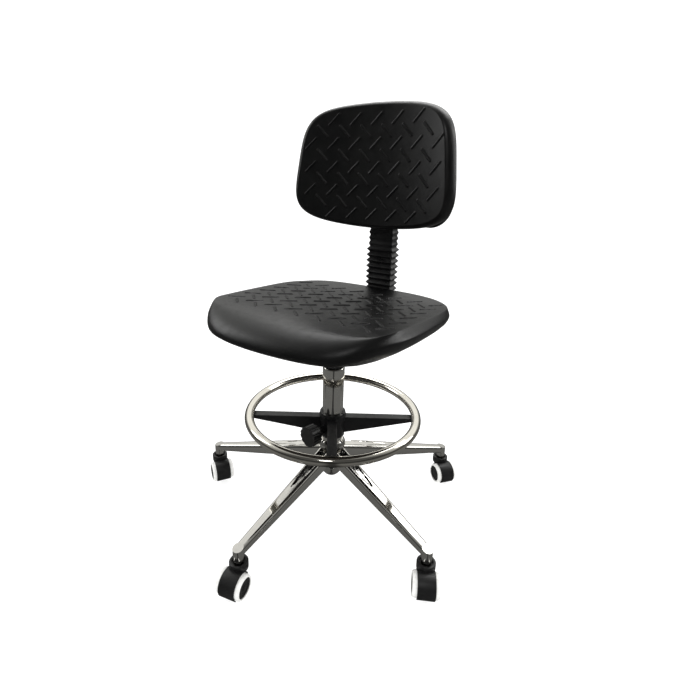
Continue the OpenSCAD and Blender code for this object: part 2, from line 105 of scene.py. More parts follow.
def make_piece(name, verts, faces, materials, body, smooth_angle=32, face_slots=None):
    """A mesh in the row frame that rides on a CAD body. Edges sharper than the angle stay sharp."""
    mesh = bpy.data.meshes.new(name)
    mesh.from_pydata([tuple(v) for v in verts], [], faces)
    for material in materials:
        mesh.materials.append(material)
    if face_slots is not None:
        mesh.polygons.foreach_set("material_index", face_slots)
    mesh.shade_smooth()
    mesh.set_sharp_from_angle(angle=math.radians(smooth_angle))
    piece = bpy.data.objects.new(name, mesh)
    bpy.context.scene.collection.objects.link(piece)
    if body:
        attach(piece, body)
    return piece


def join_shapes(*shapes):
    """Several (verts, faces) as one."""
    verts, faces = [], []
    for more_verts, more_faces in shapes:
        shift = len(verts)
        verts += [Vector(v) for v in more_verts]
        faces += [tuple(i + shift for i in face) for face in more_faces]
    return verts, faces


def moved(shape, matrix):
    """The same (verts, faces) carried to another place."""
    verts, faces = shape
    return [matrix @ Vector(v) for v in verts], faces


def lathe(profile, segments=64, closed=True, radius_at=None):
    """Turns a profile of (radius, height) about Z. It runs up on the outside and down on the inside.
    radius_at scales the radius by the angle, as on a fluted knob."""
    verts, faces, rings = [], [], []
    for r, z in profile:
        start = len(verts)
        if r < 1e-6:
            verts.append(Vector((0, 0, z)))
            rings.append([start] * segments)
            continue
        for k in range(segments):
            angle = 2 * math.pi * k / segments
            scaled = r * radius_at(angle, r) if radius_at else r
            verts.append(Vector((*polar(scaled, angle), z)))
        rings.append(list(range(start, start + segments)))
    last = len(rings) if closed else len(rings) - 1
    for i in range(last):
        low, high = rings[i], rings[(i + 1) % len(rings)]
        for k in range(segments):
            n = (k + 1) % segments
            face = list(dict.fromkeys([low[k], low[n], high[n], high[k]]))
            if len(face) > 2:
                faces.append(tuple(face))
    return verts, faces


def sweep(sections, closed_path=False):
    """Joins rings of points that lie one after another, and closes both ends unless the path is closed."""
    count = len(sections[0])
    verts = [Vector(v) for section in sections for v in section]
    faces = []
    for i in range(len(sections) if closed_path else len(sections) - 1):
        low, high = i * count, (i + 1) % len(sections) * count
        for k in range(count):
            n = (k + 1) % count
            faces.append((low + k, low + n, high + n, high + k))
    if not closed_path:
        faces.append(tuple(reversed(range(count))))
        faces.append(tuple(range(len(verts) - count, len(verts))))
    return verts, faces


def axis_matrix(centre, axis, x_hint=(0, 0, 1)):
    """Puts +Z along axis, with +X as near to x_hint as it can be."""
    z = Vector(axis).normalized()
    x = (Vector(x_hint) - z * z.dot(Vector(x_hint))).normalized()
    y = z.cross(x)
    return Matrix.Translation(centre) @ Matrix((x, y, z)).transposed().to_4x4()


# ---- Materials ----

def new_material(name, colour, roughness, metallic=0.0, specular=0.5):
    """A material that is the same all over, with its node tree and its shader."""
    material = bpy.data.materials.new(name)
    material.use_nodes = True
    shader = material.node_tree.nodes["Principled BSDF"]
    shader.inputs["Base Color"].default_value = (*colour, 1)
    shader.inputs["Roughness"].default_value = roughness
    shader.inputs["Metallic"].default_value = metallic
    shader.inputs["Specular IOR Level"].default_value = specular
    return material, material.node_tree, shader


def coordinates(tree, scale=(1, 1, 1)):
    """The piece's own coordinates, in metres times scale."""
    source = tree.nodes.new("ShaderNodeTexCoord")
    mapping = tree.nodes.new("ShaderNodeMapping")
    mapping.inputs["Scale"].default_value = scale
    tree.links.new(source.outputs["Object"], mapping.inputs["Vector"])
    return mapping.outputs["Vector"]


def noise(tree, vector, scale, detail=4, roughness=0.55):
    """Cloudy noise between 0 and 1, scale times finer than a metre."""
    node = tree.nodes.new("ShaderNodeTexNoise")
    node.inputs["Scale"].default_value = scale
    node.inputs["Detail"].default_value = detail
    node.inputs["Roughness"].default_value = roughness
    tree.links.new(vector, node.inputs["Vector"])
    return node.outputs["Fac"]


def grain_cells(tree, vector, scale):
    """Leather-like cells, high in the middle of each and low between them."""
    node = tree.nodes.new("ShaderNodeTexVoronoi")
    node.feature = "SMOOTH_F1"
    node.inputs["Scale"].default_value = scale
    node.inputs["Smoothness"].default_value = 0.4
    tree.links.new(vector, node.inputs["Vector"])
    return node.outputs["Distance"]


def ramp(tree, factor, low, high, start=0.3, stop=0.7):
    """Spreads a factor between two values or two colours."""
    node = tree.nodes.new("ShaderNodeMapRange" if not hasattr(low, "__len__") else "ShaderNodeValToRGB")
    if hasattr(low, "__len__"):
        ends = node.color_ramp.elements
        ends[0].position, ends[1].position = start, stop
        ends[0].color, ends[1].color = (*low, 1), (*high, 1)
        tree.links.new(factor, node.inputs["Fac"])
        return node.outputs["Color"]
    for socket, value in (("From Min", start), ("From Max", stop), ("To Min", low), ("To Max", high)):
        node.inputs[socket].default_value = value
    tree.links.new(factor, node.inputs["Value"])
    return node.outputs["Result"]


def drive(tree, shader, socket, factor, low, high, start=0.3, stop=0.7):
    """Lets a factor move one of the shader's sockets between two values or two colours."""
    tree.links.new(ramp(tree, factor, low, high, start, stop), shader.inputs[socket])


def bump(tree, shader, height, distance, strength=1.0, under=None):
    """Raises the surface by a height map, over another bump's normals if there are any."""
    node = tree.nodes.new("ShaderNodeBump")
    node.inputs["Distance"].default_value = distance
    node.inputs["Strength"].default_value = strength
    tree.links.new(height, node.inputs["Height"])
    if under:
        tree.links.new(under, node.inputs["Normal"])
    tree.links.new(node.outputs["Normal"], shader.inputs["Normal"])
    return node.outputs["Normal"]


def moulded_skin():
    """Integral-skin polyurethane: near black, half gloss, with a fine pebble grain."""
    material, tree, shader = new_material("moulded_skin", (0.002, 0.002, 0.002), 0.36, specular=0.38)
    place = coordinates(tree)
    mottle = noise(tree, place, 14, 5)
    drive(tree, shader, "Base Color", mottle, (0.0016, 0.0016, 0.0018), (0.0032, 0.0032, 0.0031))
    drive(tree, shader, "Roughness", noise(tree, place, 60, 6), 0.31, 0.43)
    grain = bump(tree, shader, grain_cells(tree, place, 1100), 0.00012, 0.45)
    bump(tree, shader, noise(tree, place, 420, 3), 0.00010, 0.35, grain)
    return material


def moulded_plastic(name, colour=(0.0030, 0.0030, 0.0032), roughness=0.40, grain=1500, depth=0.00006):
    """Injection-moulded plastic with an even, fine grain."""
    material, tree, shader = new_material(name, colour, roughness, specular=0.45)
    place = coordinates(tree)
    lift = [1.45 * c + 0.001 for c in colour]
    drive(tree, shader, "Base Color", noise(tree, place, 30, 5), colour, lift)
    drive(tree, shader, "Roughness", noise(tree, place, 90, 5), roughness - 0.06, roughness + 0.08)
    bump(tree, shader, noise(tree, place, grain, 3), depth, 0.6)
    return material


def powder_coat():
    """Black paint on steel, with its orange-peel waviness and a few dulled places."""
    colour = (0.0045, 0.0045, 0.005)
    material, tree, shader = new_material("powder_coat", colour, 0.33)
    place = coordinates(tree)
    dull = noise(tree, place, 45, 6)
    drive(tree, shader, "Base Color", dull, colour, [c * 1.7 for c in colour])
    drive(tree, shader, "Roughness", dull, 0.28, 0.46)
    bump(tree, shader, noise(tree, place, 650, 2), 0.00008, 0.5)
    return material


def rubber():
    """The bellows' rubber, with dust that dulls it in places."""
    material, tree, shader = new_material("rubber", (0.004, 0.004, 0.0045), 0.34)
    place = coordinates(tree)
    dust = noise(tree, place, 70, 6)
    drive(tree, shader, "Base Color", dust, (0.0035, 0.0035, 0.0038), (0.0070, 0.0070, 0.0070))
    drive(tree, shader, "Roughness", dust, 0.26, 0.44)
    bump(tree, shader, noise(tree, place, 900, 4), 0.00008, 0.5)
    return material


def chrome(name="chrome", tint=(0.74, 0.725, 0.69), roughness=0.07):
    """Bright plating with a little haze, finger marks and the waviness of the metal under it."""
    material, tree, shader = new_material(name, tint, roughness, metallic=1.0)
    place = coordinates(tree)
    marks = noise(tree, place, 35, 8, 0.65)
    drive(tree, shader, "Base Color", marks, tint, [c * 0.93 for c in tint], 0.45, 0.75)
    drive(tree, shader, "Roughness", marks, roughness * 0.8, roughness * 1.9, 0.4, 0.8)
    bump(tree, shader, noise(tree, place, 55, 2), 0.00012, 0.25)
    return material


def plated_steel(name="zinc_plate", tint=(0.55, 0.55, 0.53), roughness=0.32):
    """Ground or plated steel, with fine lines along its Z."""
    material, tree, shader = new_material(name, tint, roughness, metallic=1.0)
    lines = noise(tree, coordinates(tree, (60, 60, 6)), 40, 6)
    blotches = noise(tree, coordinates(tree), 60, 5)
    drive(tree, shader, "Base Color", blotches, tint, [c * 0.8 for c in tint])
    drive(tree, shader, "Roughness", lines, roughness - 0.08, roughness + 0.12)
    bump(tree, shader, lines, 0.00004, 0.4)
    return material


def white_tread():
    """The casters' pale tread, a little soiled."""
    material, tree, shader = new_material("white_tread", (0.78, 0.78, 0.76), 0.42, specular=0.45)
    place = coordinates(tree)
    soil = noise(tree, place, 120, 7, 0.6)
    drive(tree, shader, "Base Color", soil, (0.80, 0.80, 0.78), (0.62, 0.61, 0.58), 0.45, 0.85)
    drive(tree, shader, "Roughness", soil, 0.35, 0.55)
    bump(tree, shader, noise(tree, place, 1100, 3), 0.00004, 0.4)
    return material


def plywood():
    """Black-stained veneer: long grain along X on the faces, and thin plies at the edges."""
    material, tree, shader = new_material("plywood", (0.02, 0.016, 0.013), 0.6, specular=0.3)
    fibres = noise(tree, coordinates(tree, (3, 60, 60)), 6, 8, 0.7)
    wave = tree.nodes.new("ShaderNodeTexWave")
    wave.bands_direction = "Z"
    wave.inputs["Scale"].default_value = 105
    wave.inputs["Distortion"].default_value = 0.6
    tree.links.new(coordinates(tree), wave.inputs["Vector"])
    mix = tree.nodes.new("ShaderNodeMix")
    mix.data_type = "RGBA"
    mix.blend_type = "MULTIPLY"
    mix.inputs["Factor"].default_value = 0.45
    tree.links.new(ramp(tree, fibres, (0.012, 0.009, 0.007), (0.034, 0.027, 0.021)), mix.inputs["A"])
    tree.links.new(ramp(tree, wave.outputs["Fac"], (0.45, 0.38, 0.30), (1, 1, 1)), mix.inputs["B"])
    tree.links.new(mix.outputs["Result"], shader.inputs["Base Color"])
    drive(tree, shader, "Roughness", fibres, 0.52, 0.72)
    bump(tree, shader, fibres, 0.0002, 0.5)
    return material


def brass():
    """Turned brass, with fine rings round its Z."""
    material, tree, shader = new_material("brass", (0.62, 0.45, 0.20), 0.3, metallic=1.0)
    turned = noise(tree, coordinates(tree, (20, 20, 200)), 30, 5)
    drive(tree, shader, "Base Color", turned, (0.62, 0.45, 0.20), (0.42, 0.29, 0.13))
    drive(tree, shader, "Roughness", turned, 0.25, 0.45)
    bump(tree, shader, turned, 0.00004, 0.4)
    return material


SKIN = moulded_skin()
CHROME = chrome()
WARM_CHROME = chrome("ring_chrome", (0.80, 0.77, 0.70), 0.09)
ZINC = plated_steel()
GROUND_STEEL = plated_steel("ground_steel", (0.60, 0.60, 0.61), 0.24)
PAINT = powder_coat()
RUBBER = rubber()
BLACK_PLASTIC = moulded_plastic("black_plastic")
SHELL_PLASTIC = moulded_plastic("shell_plastic", (0.006, 0.006, 0.006), 0.5, 700, 0.00014)
KNOB_PLASTIC = moulded_plastic("knob_plastic", (0.004, 0.004, 0.004), 0.36)
HOOD_PLASTIC = moulded_plastic("hood_plastic", (0.0055, 0.0055, 0.0055), 0.4)
WHEEL_PLASTIC = moulded_plastic("wheel_plastic", (0.004, 0.004, 0.004), 0.3)
BUSH_PLASTIC = moulded_plastic("bush_plastic", (0.60, 0.56, 0.44), 0.45)
TREAD = white_tread()
PLYWOOD = plywood()
BRASS = brass()


# ---- Moulded cushions ----

RIB_HALF = 17 * MM      # from a rib's middle to the middle of its round end
RIB_TOP = 0.7 * MM      # half the width of its flat top
RIB_FOOT = 3.1 * MM     # half its width at the foot
RIB_HEIGHT = 2.3 * MM
RIB_PITCH = 52.5 * MM

# From the widest line to the edge of the underside: share of the way inward and of the way down
TUCK = ((0.02, 0.12), (0.09, 0.28), (0.26, 0.49), (0.56, 0.73), (0.88, 0.94), (1, 1))

SEAT_RAKE = math.radians(4)
BACK_TILT = math.radians(1.75)
BACK_CURVE = 450 * MM   # the radius to which the backrest is bent


def smooth_ring(points, reach):
    """Rounds a closed ring by averaging each point with those up to reach away, nearer ones more."""
    kernel = np.hanning(2 * reach + 3)[1:-1]
    kernel /= kernel.sum()
    wrapped = np.concatenate([points[-reach:], points, points[:reach]])
    return np.stack([np.convolve(wrapped[:, k], kernel, "valid") for k in (0, 1)], 1)


def outline(corners, bows, counts, low_reach, high_reach):
    """A closed ring through four corners, counter-clockwise from the low left one. Each side bows out by its
    bow; the corners are rounded over a reach, in points, of their own at the low and at the high end."""
    sides = []
    for k in range(4):
        a, b = np.array(corners[k]), np.array(corners[(k + 1) % 4])
        t = (np.arange(counts[k % 2]) / counts[k % 2])[:, None]
        along = b - a
        outward = np.array([along[1], -along[0]]) / np.linalg.norm(along)
        sides.append(a + along * t + outward * bows[k] * 4 * t * (1 - t))
    sharp = np.concatenate(sides)
    low, high = min(c[1] for c in corners), max(c[1] for c in corners)
    share = smoothstep(low, high, sharp[:, 1:2])
    return smooth_ring(sharp, low_reach) * (1 - share) + smooth_ring(sharp, high_reach) * share


def filled_grid(ring, nu, nv):
    """A grid of (nu + 1) by (nv + 1) points inside a ring of 2 (nu + nv), as a Coons patch."""
    low, right = ring[:nu + 1], ring[nu:nu + nv + 1]
    high = ring[nu + nv:2 * nu + nv + 1][::-1]
    left = np.concatenate([ring[2 * nu + nv:], ring[:1]])[::-1]
    u = np.linspace(0, 1, nu + 1)[:, None, None]
    v = np.linspace(0, 1, nv + 1)[None, :, None]
    corners = (1 - u) * (1 - v) * low[0] + u * (1 - v) * low[-1] + (1 - u) * v * high[0] + u * v * high[-1]
    return (1 - v) * low[:, None] + v * high[:, None] + (1 - u) * left[None] + u * right[None] - corners


def rim_numbers(nu, nv):
    """The grid's rim, as numbers of its points in the ring's order."""
    stride = nv + 1
    return np.array([k * stride for k in range(nu)] + [nu * stride + k for k in range(nv)]
                    + [(nu - k) * stride + nv for k in range(nu)] + [nv - k for k in range(nv)])


def rib_heights(x, y, ribs):
    """Raised ribs with round ends: each is (centre x, centre y, direction in degrees)."""
    height = np.zeros_like(x)
    for cx, cy, turn in ribs:
        c, s = math.cos(math.radians(turn)), math.sin(math.radians(turn))
        along = (x - cx) * c + (y - cy) * s
        across = (y - cy) * c - (x - cx) * s
        far = np.hypot(np.maximum(np.abs(along) - RIB_HALF, 0), across)
        height = np.maximum(height, RIB_HEIGHT * (1 - smoothstep(RIB_TOP, RIB_FOOT, far)))
    return height


def spline(points, steps):
    """A smooth line through control points."""
    points = np.array(points, float)
    ends = np.concatenate([2 * points[:1] - points[1:2], points, 2 * points[-1:] - points[-2:-1]])
    line = []
    for i in range(1, len(ends) - 2):
        p0, p1, p2, p3 = ends[i - 1:i + 3]
        for k in range(steps):
            t = k / steps
            line.append(0.5 * (2 * p1 + (p2 - p0) * t + (2 * p0 - 5 * p1 + 4 * p2 - p3) * t * t
                               + (3 * p1 - p0 - 3 * p2 + p3) * t ** 3))
    line.append(points[-1])
    return np.array(line)


def resample(points, count):
    """The same line with another number of points, evenly spread by index."""
    points = np.array(points, float)
    index = np.arange(len(points))
    wanted = np.linspace(0, len(points) - 1, count)
    return list(zip(*(np.interp(wanted, index, points[:, k]) for k in (0, 1))))


def edge_loops(crest, widest, crest_height, sections, weight):
    """Rings of points from the crest to the widest line, each with its level."""
    lines = [spline(section, 3) for section in sections]
    loops = []
    for steps in list(zip(*lines))[1:]:
        share = sum(w * step[0] for w, step in zip(weight, steps))
        drop = sum(w * step[1] for w, step in zip(weight, steps))
        loops.append((crest + (widest - crest) * share[:, None], crest_height + drop))
    return loops


def wrap_loops(widest, widest_level, underside, pocket, recess):
    """Rings that go on from the widest line, under the cushion and into the pocket that holds its board."""
    mouth, floor = recess
    loops = []
    for inward, down in TUCK:
        points = widest + (underside - widest) * inward
        loops.append((points, widest_level + (mouth - widest_level) * down))
    lip = pocket + (underside - pocket) * 0.25
    for points, level in ((lip, mouth), (pocket, mouth + 1 * MM), (pocket, floor)):
        loops.append((points, np.full(len(points), level)))
    return loops


def cushion_faces(counts, rings, last):
    """Quads over the grid and between each two rings, and a fan from the innermost ring to the last point."""
    nu, nv = counts
    i, j = np.meshgrid(np.arange(nu), np.arange(nv), indexing="ij")
    first = (i * (nv + 1) + j).ravel()
    quads = [np.stack([first, first + nv + 1, first + nv + 2, first + 1], 1)]
    for inner, outer in zip(rings, rings[1:]):
        quads.append(np.stack([inner, outer, np.roll(outer, -1), np.roll(inner, -1)], 1))
    faces = [tuple(map(int, quad)) for quad in np.concatenate(quads)]
    innermost = rings[-1]
    return faces + [(int(a), last, int(b)) for a, b in zip(np.roll(innermost, -1), innermost)]


def surface_normals(surface, x, y):
    """The normals of a surface, from its own slopes: on the narrow ribs they beat those of its quads."""
    step = 0.2 * MM
    across = surface(x + step, y) - surface(x - step, y)
    along = surface(x, y + step) - surface(x, y - step)
    normals = np.cross(across, along)
    return normals / np.linalg.norm(normals, axis=1)[:, None]


def set_normals(mesh, points, normals):
    """Gives some of a mesh's points their own normals, and keeps the others' as they are."""
    mixed = np.zeros((len(mesh.vertices), 3))
    mesh.vertex_normals.foreach_get("vector", mixed.reshape(-1))
    mixed[points] = normals
    mesh.normals_split_custom_set_from_vertices(mixed.tolist())


def ribbed_cushion(name, node, body, rings_of, counts, height, ribs, sections, weight, recess, place):
    """A closed moulding. Its face fills the crest line and carries the ribs, and its edge follows a section
    from the crest to the widest line and on under it.

    rings_of is the crest and the widest line, and for a cushion that wraps a board also the edge of its
    underside and the outline of the pocket in it. sections are one or two lists of (share of the way from
    crest to widest, level below the crest); weight says how much of each every place on the ring takes.
    recess is the level of the pocket's mouth and of its floor. height(x, y) is the face without ribs, and
    place maps (x, y, height) to the row frame."""
    crest, widest = rings_of[:2]
    grid = filled_grid(crest, *counts).reshape(-1, 2)
    rim = rim_numbers(*counts)

    def surface(x, y):
        return place(x, y, height(x, y) + rib_heights(x, y, ribs))

    loops = edge_loops(crest, widest, height(crest[:, 0], crest[:, 1]), sections, weight)
    if recess:
        loops += wrap_loops(widest, loops[-1][1], *rings_of[2:], recess)
    points, level = loops[-1]
    middle = points.mean(0)
    for scale in (0.75, 0.5, 0.25):
        loops.append((middle + (points - middle) * scale, level))

    verts = [surface(grid[:, 0], grid[:, 1])]
    verts += [place(points[:, 0], points[:, 1], level) for points, level in loops]
    verts.append(place(middle[:1], middle[1:], level[:1]))
    rings = [rim] + [len(grid) + k * len(rim) + np.arange(len(rim)) for k in range(len(loops))]
    faces = cushion_faces(counts, rings, len(grid) + len(loops) * len(rim))

    piece = make_piece(name, np.concatenate(verts), faces, [SKIN], None, 180)
    inside = np.setdiff1d(np.arange(len(grid)), rim)
    set_normals(piece.data, inside, surface_normals(surface, grid[inside, 0], grid[inside, 1]))
    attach(piece, body)
    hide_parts(node)


def seat_cushion():
    """The seat: a flat field of ribs, a crest round its sides and rear, and a long round fall at the front.
    Its skirt wraps the edge of the board."""
    board_low, board_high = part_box("seat_board")
    middle = (board_low + board_high) / 2
    face_over_board = 56 * MM
    base = middle.z + middle.y * math.tan(SEAT_RAKE) + face_over_board / math.cos(SEAT_RAKE)
    counts = (256, 262)
    skirt_bows = (-1 * MM, -2 * MM, 8 * MM, -2 * MM)
    crest = outline([(-0.2074, -0.190), (0.2074, -0.190), (0.2219, 0.193), (-0.2219, 0.193)],
                    (11 * MM, 3 * MM, 9 * MM, 3 * MM), counts, 60, 122)
    widest = outline([(-0.2320, -0.266), (0.2320, -0.266), (0.2345, 0.196), (-0.2345, 0.196)],
                     skirt_bows, counts, 200, 120)
    underside = outline([(-0.1810, -0.239), (0.1810, -0.239), (0.1835, 0.145), (-0.1835, 0.145)],
                        skirt_bows, counts, 180, 110)
    half = board_high.x + 0.6 * MM
    front_edge, rear_edge = -0.2046, 0.1456
    pocket = outline([(-half, front_edge), (half, front_edge), (half, rear_edge), (-half, rear_edge)],
                     (3 * MM, 0.5 * MM, 2 * MM, 0.5 * MM), counts, 95, 60)
    recess = (-61 * MM, -50.3 * MM)
    fall_from, front_y, fall = -0.150, -0.2625, 45 * MM

    def height(x, y):
        side = np.clip((np.abs(x) - 0.150) / 0.069, 0, 1.2)
        back = np.clip((y - 0.110) / 0.092, 0, 1.2)
        rise = np.hypot(3.3 * MM * side ** 2, 9 * MM * back ** 2)
        front = np.clip((fall_from - y) / (fall_from - front_y), 0, 0.98)
        return rise - fall * (1 - np.sqrt(1 - front ** 2))

    side = [(0, 0), (0.06, -0.2), (0.20, -1.6), (0.55, -7.2), (0.85, -12.5), (0.97, -15.5), (1, -18)]
    front = [(0, 0), (0.20, -2.6), (0.42, -7.3), (0.63, -13.7), (0.80, -21), (0.92, -29), (0.98, -36),
             (1, -42.5)]
    sections = [[(share, level * MM) for share, level in resample(line, 7)] for line in (side, front)]
    forward = np.roll(widest, -1, 0) - np.roll(widest, 1, 0)
    facing = forward[:, 0] / np.linalg.norm(forward, axis=1)
    front_share = smoothstep(0.30, 0.97, facing)
    c, s = math.cos(SEAT_RAKE), math.sin(SEAT_RAKE)

    def place(x, y, h):
        return np.stack([x, y * c + h * s, base - y * s + h * c], 1)

    ribs = []
    for row in range(6):
        for column in range(-4, 4):
            ribs.append(((column + 0.5) * RIB_PITCH, -0.121 + row * RIB_PITCH, 45))
        for column in range(-3, 4):
            ribs.append((column * RIB_PITCH, -0.147 + row * RIB_PITCH, -45))
    ribbed_cushion("seat_cushion_moulded", "seat_cushion", "seat", (crest, widest, underside, pocket), counts,
                   height, ribs, sections, (1 - front_share, front_share), recess, place)


def back_cushion():
    """The backrest: a slab bent round the sitter, wider at its foot, with ribs all over its front."""
    low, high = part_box("back_cushion")
    middle = (low.z + high.z) / 2
    thickness = 30 * MM
    face_y = high.y - thickness - (high.z - low.z) / 2 * math.sin(BACK_TILT)
    counts = (236, 168)

    def ring(inset, low_reach, high_reach):
        bottom, top = -0.1111 + inset, 0.1219 - inset
        bottom_half, top_half = 0.2113 - inset, 0.1788 - inset
        return outline([(-bottom_half, bottom), (bottom_half, bottom), (top_half, top), (-top_half, top)],
                       (28 * MM, 0, 21 * MM, 0), counts, low_reach, high_reach)

    crest, widest = ring(9 * MM, 72, 78), ring(0, 82, 88)

    def height(x, y):
        return np.zeros_like(x)

    edge = [(0, 0), (0.10, -0.2), (0.35, -1.7), (0.65, -4.6), (0.88, -9), (1, -14.5), (1, -20), (0.93, -25),
            (0.7, -28.5), (0.2, -30), (-0.4, -30)]
    section = [(share, level * MM) for share, level in edge]
    c, s = math.cos(BACK_TILT), math.sin(BACK_TILT)

    def place(x, y, h):
        turn = x / BACK_CURVE
        radius = BACK_CURVE - h
        out = radius * np.cos(turn) - BACK_CURVE
        return np.stack([radius * np.sin(turn), face_y + out * c + y * s, middle - out * s + y * c], 1)

    def along_curve(columns):
        """The distance along the curve of a rib that stands some columns out from the middle."""
        column_pitch = 52.8 * MM
        return BACK_CURVE * math.asin(columns * column_pitch / BACK_CURVE)

    ribs = []
    for row, columns in enumerate((2, 3, 3, 3, 2)):
        for column in range(-columns, columns + 1):
            ribs.append((along_curve(column), 0.1053 - row * RIB_PITCH, 45))
    for row in range(4):
        for column in range(-3, 3):
            ribs.append((along_curve(column + 0.5), 0.0791 - row * RIB_PITCH, -45))
    ribbed_cushion("back_cushion_moulded", "back_cushion", "backrest", (crest, widest), counts, height,
                   ribs, [section], (np.ones(len(crest)),), None, place)


# ---- Bellows ----

def rounded_box_ring(half_x, half_y, radius, z, centre_y):
    """A level ring round the bar: a box with round corners."""
    corners = [(-half_x, -half_y), (half_x, -half_y), (half_x, half_y), (-half_x, half_y)]
    return [Vector((p.x, centre_y + p.y, z)) for p in fillet(corners, radius, True, 5)]


def bellows():
    """A rubber concertina over the bar, with sharp crests, round valleys and a plain cuff at each end."""
    low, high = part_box("bellows")
    centre = (low.y + high.y) / 2
    crest_x, crest_y = high.x - 0.1 * MM, (high.y - low.y) / 2 - 0.1 * MM
    wall, cuff, lip, usual_pitch = 1.2 * MM, 7 * MM, 1.2 * MM, 13.7 * MM
    folded = high.z - low.z - 2 * cuff
    folds = int(folded / usual_pitch)
    pitch = folded / folds
    # Insets from the crests, in mm. The folds of the top are pressed tighter than the others.
    valley, cuff_inset, top_inset = 5.6, 3.4, 4.9
    tight_folds, tight_inset = 5, 3.2
    fold = ((0.0, 5.4), (0.05, valley), (0.28, 2.6), (0.46, 0.3), (0.5, 0.0), (0.54, 0.3), (0.72, 2.6),
            (0.95, valley))
    profile = [(low.z, cuff_inset), (low.z + cuff - lip, cuff_inset)]
    for i in range(folds):
        z = low.z + cuff + i * pitch
        tight = tight_inset if i >= folds - tight_folds else 0
        for share, inset in fold:
            profile.append((z + share * pitch, inset + tight * (1 - inset / valley)))
    profile += [(high.z - cuff, top_inset), (high.z - cuff + lip, cuff_inset), (high.z, cuff_inset)]
    outer = [rounded_box_ring(crest_x - inset * MM, crest_y - inset * MM, 2.2 * MM, z, centre)
             for z, inset in profile]
    inside = valley * MM + wall
    inner = [rounded_box_ring(crest_x - inside, crest_y - inside, 4 * MM, z, centre)
             for z, _ in reversed(profile)]
    verts, faces = sweep(outer + inner, closed_path=True)
    piece = make_piece("bellows_folded", verts, faces, [RUBBER], None, 50)
    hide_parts("bellows")
    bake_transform(piece)


# ---- Base ----

def leg_directions():
    """(direction of the leg in radians, radius of its caster stem) for each caster."""
    places = [Vector(joints[f"caster_{n}_swivel"]["pos_m"]).xy for n in CASTERS]
    return [(math.atan2(p.y, p.x), p.length) for p in places]


def pressed_leg(length, hub_radius, hub_top, tip_top):
    """One leg along +X: a tapered box with round edges, a shallow emboss on its top and a welded tip."""
    stations, weld = 64, 3 * MM
    root_width, tip_width = 38 * MM, 21 * MM
    root_depth, tip_depth = 33 * MM, 17 * MM
    emboss_length, emboss_depth, emboss_slope = 0.42 * (length - hub_radius), 1.3 * MM, 1.6 * MM
    start, stop = hub_radius - weld, length + weld
    sections = []
    for i in range(stations + 1):
        r = start + (stop - start) * i / stations
        t = (r - hub_radius) / (length - hub_radius)
        half = (root_width + (tip_width - root_width) * t) / 2
        top = hub_top + (tip_top - hub_top) * t
        depth = root_depth + (tip_depth - root_depth) * t
        corners = [(half, -depth), (half, 0), (-half, 0), (-half, -depth)]
        ring = fillet(corners, (3 * MM, 6.5 * MM, 6.5 * MM, 3 * MM), True, 6)
        taper = max(0.0, 1 - max(0.0, (r - hub_radius) / emboss_length) ** 1.6)
        edge = 0.62 * half * math.sqrt(taper)
        section = []
        for p in refine_top(ring, 12):
            sunk = 0.0
            if taper > 0 and p.y > -1 * MM:
                sunk = emboss_depth * float(1 - smoothstep(edge - emboss_slope, edge, abs(p.x)))
            section.append(Vector((r, p.x, top + p.y - sunk)))
        sections.append(section)
    return sweep(sections)


def refine_top(ring, pieces):
    """Splits the long flat top of a section, so that an emboss can be pressed into it."""
    line = []
    for a, b in zip(ring, ring[1:] + ring[:1]):
        line.append(a)
        if abs(a.y) < 1e-7 and abs(b.y) < 1e-7 and (b - a).length > 5 * MM:
            line += [a.lerp(b, k / pieces) for k in range(1, pieces)]
    return line


def base_legs():
    """The five legs, welded to the hub at one end and to the caster sockets at the other."""
    hub_radius = 30 * MM
    hub_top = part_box("base_legs")[1].z - 1.5 * MM
    tip_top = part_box("caster_sockets")[1].z - 2.6 * MM
    legs = []
    for angle, radius in leg_directions():
        leg = pressed_leg(radius, hub_radius, hub_top, tip_top)
        legs.append(moved(leg, Matrix.Rotation(angle, 4, "Z")))
    piece = make_piece("base_legs_pressed", *join_shapes(*legs), [CHROME], "base")
    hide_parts("base_legs")


# ---- Casters ----

def caster_matrix(n):
    """The caster's own frame: origin on the floor under its stem, +X along the way it trails, +Z up."""
    stem = Vector(joints[f"caster_{n}_swivel"]["pos_m"])
    axle = Vector(joints[f"caster_{n}_wheel_left_spin"]["pos_m"])
    trail = (axle - stem).xy
    turn = math.atan2(trail.y, trail.x)
    return Matrix.Translation((stem.x, stem.y, 0)) @ Matrix.Rotation(turn, 4, "Z"), trail.length, axle.z


